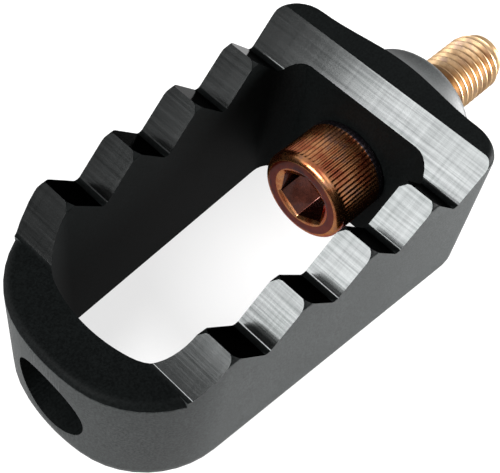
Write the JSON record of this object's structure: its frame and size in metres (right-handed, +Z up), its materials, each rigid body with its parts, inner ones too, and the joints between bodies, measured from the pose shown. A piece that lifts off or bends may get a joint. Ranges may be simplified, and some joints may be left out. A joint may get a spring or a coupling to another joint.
{
  "type": "shifter peg",
  "caption": "Toothed, hollow metal foot peg for a motorbike's gear lever, with a round mounting boss and its own socket-head fixing screw.",
  "frame": {"origin": "centre of the boss's flat mounting face, on the screw's axis", "axes": "+X along the screw towards the lever it is fixed to, nose towards -X, +Z up through the teeth, +Y to the left seen from the nose"},
  "size_m": [0.0749, 0.032, 0.0229],
  "materials": {
    "black_anodised": "black anodised over fine blasting, satin, with machined teeth",
    "gold_zinc": "yellow-gold zinc plating, glossy"
  },
  "bodies": {
    "peg": {"peg_body": "black_anodised"},
    "screw": {"cap_screw": "gold_zinc"}
  },
  "joints": [
    {"name": "screw_turn", "type": "hinge", "parent": "peg", "child": "screw", "pos_m": [0, 0, 0], "axis": [1, 0, 0], "continuous": true}
  ]
}
